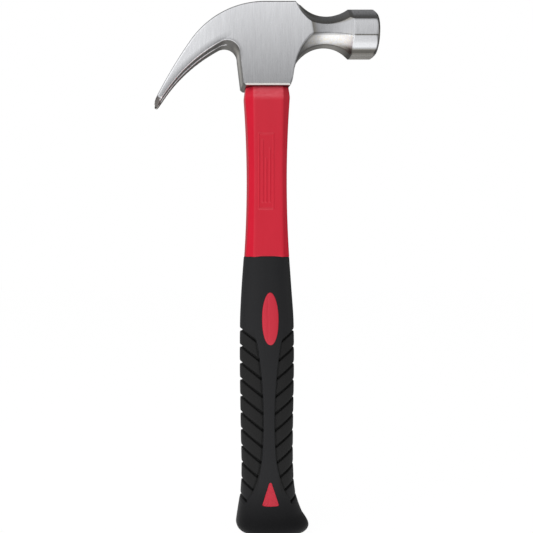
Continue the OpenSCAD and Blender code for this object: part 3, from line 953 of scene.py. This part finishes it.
def steel():
    """Ground steel: brush lines run down the cheeks and round the neck and poll, under painted light
    and shade.
    """
    material, tree, shader = new_material("ground_steel")
    x, y, z = separate(tree, position(tree, (1, 1, 1)).outputs[0])
    out = magnitude(tree, y)
    on_neck = neck_share(tree, x, out)
    under_share, wall_share = inner_faces(tree)
    down = noise(tree, (6.0, 6.0, 0.16), 3, 0.7)
    round_lines = noise(tree, (5.0, 0.35, 0.35), 3, 0.7)
    lines = blend(tree, on_neck, down, round_lines)
    cloud = noise(tree, (1.5, 1.5, 0.09), 3, 0.6)
    grain = plus(tree, remap(tree, lines, 0.3, 0.7, 0.0, 0.6), remap(tree, cloud, 0.3, 0.7, 0.0, 0.4))
    colour = mix_colour(tree, grain, STEEL_DARK, STEEL_PALE)

    # painted light and shade on the cheeks and claws
    tone = cheek_painted_light(tree, x, z, out, under_share, wall_share)
    # painted light and shade on the neck and poll
    tone = blend(tree, on_neck, tone, neck_painted_light(tree, x, y, z))
    colour = vector_math(tree, "SCALE", {0: colour, "Scale": tone})
    warm = vector_math(tree, "MULTIPLY", {0: colour, 1: STEEL_WARMTH})
    inner = plus(tree, under_share, wall_share)
    # warmer tint: painted warm reflection in the painted shade, and specks on the neck's flank
    colour = mix_colour(tree, warm_share(tree, x, z, tone, on_neck, inner), colour, warm)
    # painted dark reflection on the claws' tips
    colour = mix_colour(tree, dark_tip_share(tree, x, z), colour, TIP_PAINTED_DARK)
    # worn steel and a painted highlight along the edge of the skirt's rim
    colour = mix_colour(tree, rim_wear_and_highlight_share(tree, z), colour, STEEL_WORN_HIGHLIGHT)
    tree.links.new(colour, shader.inputs["Base Color"])
    shader.inputs["Metallic"].default_value = 1.0
    rough = remap(tree, lines, 0.3, 0.7, 0.24, 0.38)
    tree.links.new(rough, shader.inputs["Roughness"])
    tree.links.new(bump(tree, lines, 0.02, 0.6), shader.inputs["Normal"])
    return material


def red_plastic(name, reds, rough):
    """Moulded plastic: slight colour drift, scuffs and a painted sheen near the top, duller on its cut
    corners.
    """
    material, tree, shader = new_material(name)
    drift = share_of(tree, noise(tree, (0.05, 0.05, 0.02), 3), 0.3, 0.7)
    colour = mix_colour(tree, drift, *reds)
    z = separate(tree, position(tree, (1, 1, 1)).outputs[0])[2]
    facing = separate(tree, node(tree, "ShaderNodeNewGeometry").outputs["Normal"])[1]
    facing = magnitude(tree, facing)
    smear = remap(tree, noise(tree, (0.25, 0.25, 0.5), 4), 0.3, 0.65, 0.35, 1.0)
    # scuff marks and a painted sheen near the top, strongest on the flats that face front and back
    scuff_and_sheen = times(tree, remap(tree, z, SKIRT_Z - 9.0, SKIRT_Z - 5.5, 0.0, 0.8), smear)
    scuff_and_sheen = times(tree, scuff_and_sheen, remap(tree, facing, 0.8, 0.95, 0.15, 1.0))
    colour = mix_colour(tree, scuff_and_sheen, colour, SCUFF_AND_SHEEN_RED)
    tree.links.new(colour, shader.inputs["Base Color"])
    sheen = remap(tree, facing, 0.75, 0.95, 0.12, 0.5)
    tree.links.new(sheen, shader.inputs["Specular IOR Level"])
    peel = noise(tree, (1.1, 1.1, 0.8), 3)
    grain = noise(tree, (6.0, 6.0, 6.0), 2)
    patchy = remap(tree, grain, 0.3, 0.7, rough - 0.06, rough + 0.06)
    tree.links.new(patchy, shader.inputs["Roughness"])
    soft = bump(tree, peel, 0.03, 0.5)
    tree.links.new(bump(tree, grain, 0.006, 0.6, soft), shader.inputs["Normal"])
    shader.inputs["IOR"].default_value = 1.49
    return material


def pad_share(tree, x, z):
    """Share of a place on the chevron pads, outside the smooth band."""
    up = minus(tree, z, BAND_MIDDLE_Z)
    spread = times(tree, times(tree, up, up), BAND_SPREAD)
    past = minus(tree, minus(tree, magnitude(tree, x), spread), BAND_HALF)
    between = times(tree, share_of(tree, z, 24.0, 32.0), share_of(tree, z, 126.0, 118.0))
    return times(tree, share_of(tree, past, -0.2, 0.4), between)


def rubber():
    """Matte moulded rubber: pebbled pads, painted shade in the grooves, a smoother and slightly bluer
    band.
    """
    material, tree, shader = new_material("moulded_rubber")
    x, _, z = separate(tree, position(tree, (1, 1, 1)).outputs[0])
    on_pad = pad_share(tree, x, z)
    colour = mix_colour(tree, on_pad, BAND_BLACK, PAD_BLACK)
    drift = remap(tree, noise(tree, (0.12, 0.12, 0.05), 4), 0.3, 0.7, 0.0, 0.35)
    colour = mix_colour(tree, drift, colour, DUSTY_BLACK)
    on_butt = share_of(tree, z, 30.0, 10.0)
    colour = mix_colour(tree, on_butt, colour, BUTT_BLACK)
    depth = node(tree, "ShaderNodeAttribute", attribute_name="depth").outputs["Fac"]
    # painted shade in the grooves, deeper grooves darker
    groove_shade = remap(tree, depth, 0.2, 0.65, 0.0, 0.75)
    colour = mix_colour(tree, groove_shade, colour, GROOVE_PAINTED_SHADE)
    tree.links.new(colour, shader.inputs["Base Color"])
    pebble = noise(tree, (3.2, 3.2, 3.2), 3)
    rough = plus(tree, remap(tree, pebble, 0.3, 0.7, 0.5, 0.6), times(tree, on_pad, 0.12))
    tree.links.new(rough, shader.inputs["Roughness"])
    tree.links.new(bump(tree, pebble, 0.03, 0.5), shader.inputs["Normal"])
    sheen = remap(tree, z, 8.0, 32.0, 0.16, 0.3)
    tree.links.new(sheen, shader.inputs["Specular IOR Level"])
    return material


def resin():
    """Cast resin: dark, glossy and slightly uneven."""
    material, tree, shader = new_material("cast_resin")
    swirl = share_of(tree, noise(tree, (0.5, 0.5, 0.5), 4), 0.35, 0.65)
    colour = mix_colour(tree, swirl, *RESIN_BROWNS)
    tree.links.new(colour, shader.inputs["Base Color"])
    tree.links.new(remap(tree, swirl, 0, 1, 0.16, 0.3), shader.inputs["Roughness"])
    uneven = bump(tree, noise(tree, (0.8, 0.8, 0.8), 2), 0.08, 0.4)
    tree.links.new(uneven, shader.inputs["Normal"])
    return material


def fibreglass():
    """Pultruded glass: lengthwise strands on the side, fibre ends on the cut."""
    material, tree, shader = new_material("pultruded_glass")
    strands = noise(tree, (4.0, 4.0, 0.04), 3, 0.7)
    place = position(tree, (2.6, 2.6, 0.05)).outputs[0]
    ends = node(tree, "ShaderNodeTexVoronoi", {"Vector": place, "Scale": 1.0}).outputs["Distance"]
    tone = plus(tree, remap(tree, strands, 0.3, 0.7, 0.0, 0.6), remap(tree, ends, 0.0, 0.7, 0.4, 0.0))
    colour = mix_colour(tree, tone, *GLASS_STRAWS)
    tree.links.new(colour, shader.inputs["Base Color"])
    tree.links.new(remap(tree, strands, 0.3, 0.7, 0.3, 0.55), shader.inputs["Roughness"])
    tree.links.new(bump(tree, ends, 0.04, 0.7), shader.inputs["Normal"])
    return material


# ---------------------------------------------------------------- the object

points, quads, normals = surface_net(head_field, HEAD_LOW - GRID_MARGIN, HEAD_HIGH + GRID_MARGIN,
                                     GRID_STEP)
add_piece("forged_head", points, quads, steel(), "forged_steel", "head", normals=normals)

inlay_red = red_plastic("inlay_red", INLAY_REDS, rough=0.42)
make_jacket(red_plastic("jacket_red", JACKET_REDS, rough=0.33))
make_grip(rubber())
make_inlay("oval_front", "front_oval_inlay", oval_edge, False, inlay_red)
make_inlay("oval_back", "back_oval_inlay", oval_edge, True, inlay_red)
make_inlay("triangle_front", "front_triangle_inlay", triangle_edge, False, inlay_red)
make_inlay("triangle_back", "back_triangle_inlay", triangle_edge, True, inlay_red)
make_resin(resin())
make_core(fibreglass())


# ---------------------------------------------------------------- stage, light and camera

def make_floor():
    """Pale floor that looks white to the camera and lights the tool from below, more from the front."""
    mesh = bpy.data.meshes.new("floor")
    far = 6.0
    corners = [(-far, -far, 0), (far, -far, 0), (far, far, 0), (-far, far, 0)]
    mesh.from_pydata(corners, [], [(0, 1, 2, 3)])
    floor = bpy.data.objects.new("floor", mesh)
    bpy.context.scene.collection.objects.link(floor)
    material, tree, shader = new_material("pale_floor")
    shader.inputs["Base Color"].default_value = (0.9, 0.9, 0.9, 1)
    shader.inputs["Roughness"].default_value = 0.9
    x, y, _ = separate(tree, node(tree, "ShaderNodeNewGeometry").outputs["Position"])
    near = remap(tree, y, -0.1, 0.25, 1.5, 0.3)
    away = remap(tree, y, -1.6, -0.8, 0.3, 1.0)
    left = remap(tree, x, 0.15, 0.3, 1.0, 0.35)
    glow = times(tree, times(tree, near, away), left)
    seen = node(tree, "ShaderNodeLightPath").outputs["Is Camera Ray"]
    level = blend(tree, seen, glow, 1.03)
    lit = node(tree, "ShaderNodeEmission", {"Color": (1, 1, 1, 1), "Strength": level})
    share = remap(tree, seen, 0, 1, 0.8, 0.95)
    mixed = node(tree, "ShaderNodeMixShader", {0: share, 1: shader.outputs[0], 2: lit.outputs[0]})
    tree.links.new(mixed.outputs[0], tree.nodes["Material Output"].inputs["Surface"])
    mesh.materials.append(material)


# Brightness of the surround from straight down (-1) to straight up (1), before and behind the tool
FRONT_LIGHT = [(-1, 1.5), (-0.3, 1.3), (-0.05, 0.3), (0.1, 0.33), (0.19, 0.7), (0.28, 1.35),
               (0.42, 1.35), (0.6, 1.3), (0.78, 0.3), (1, 0.16)]
BACK_LIGHT = [(-1, 1.2), (-0.6, 0.4), (-0.25, 0.12), (0.05, 0.2), (0.3, 0.6), (0.6, 0.25), (1, 0.22)]


def make_world():
    """Soft studio surround: bright in front, dimmer overhead, behind and to the right."""
    world = bpy.data.worlds.new("studio")
    bpy.context.scene.world = world
    world.use_nodes = True
    tree = world.node_tree
    background = tree.nodes["Background"]
    x, y, z = separate(tree, node(tree, "ShaderNodeTexCoord").outputs["Generated"])
    front = ramp(tree, z, -1, 1, FRONT_LIGHT)
    behind = ramp(tree, z, -1, 1, BACK_LIGHT)
    shade = mix_colour(tree, share_of(tree, y, 0.1, -0.45), behind, front)
    dim = remap(tree, z, 0.1, 0.25, 0.3, 0.58)
    side = remap(tree, x, -0.6, 0.6, 1.12, dim)
    shade = vector_math(tree, "SCALE", {0: shade, "Scale": side})
    edges = plus(tree, remap(tree, x, 0.82, 0.97, 0.0, 0.9), remap(tree, x, -0.82, -0.97, 0.0, 0.4))
    edges = times(tree, edges, share_of(tree, z, -0.02, 0.06))
    shade = mix_colour(tree, edges, shade, (0.9, 0.9, 0.9, 1))
    seen = node(tree, "ShaderNodeLightPath").outputs["Is Camera Ray"]
    colour = mix_colour(tree, seen, shade, (1, 1, 1, 1))
    tree.links.new(colour, background.inputs["Color"])
    background.inputs["Strength"].default_value = 1.0


def make_softbox(name, place, target, size, power):
    """Area light aimed at target, which doesn't show in the steel as a square."""
    lamp = bpy.data.lights.new(name, "AREA")
    lamp.shape = "RECTANGLE"
    lamp.size, lamp.size_y = size
    lamp.energy = power
    box = bpy.data.objects.new(name, lamp)
    box.location = place
    box.visible_glossy = False
    box.rotation_euler = (Vector(target) - Vector(place)).to_track_quat("-Z", "Y").to_euler()
    bpy.context.scene.collection.objects.link(box)


def make_camera():
    """A level camera in front of the cheek, set off to the claw side, with a shifted lens."""
    distance, off_x, eye_z = 520.0, -66.0, 162.0
    view_width, centre_z = 331.674, 163.8
    data = bpy.data.cameras.new("camera")
    data.sensor_width = 36.0
    data.lens = distance / view_width * data.sensor_width
    data.shift_x = -off_x / view_width
    data.shift_y = (centre_z - eye_z) / view_width
    camera = bpy.data.objects.new("camera", data)
    camera.location = (off_x * MM, -distance * MM, eye_z * MM)
    camera.rotation_euler = (math.pi / 2, 0, 0)
    bpy.context.scene.collection.objects.link(camera)
    bpy.context.scene.camera = camera


make_floor()
make_world()
make_softbox("key_softbox", (-0.9, -1.0, 1.1), target=(0, 0, 0.2), size=(0.9, 0.9), power=9)
make_camera()
bpy.context.scene.view_settings.view_transform = "Standard"
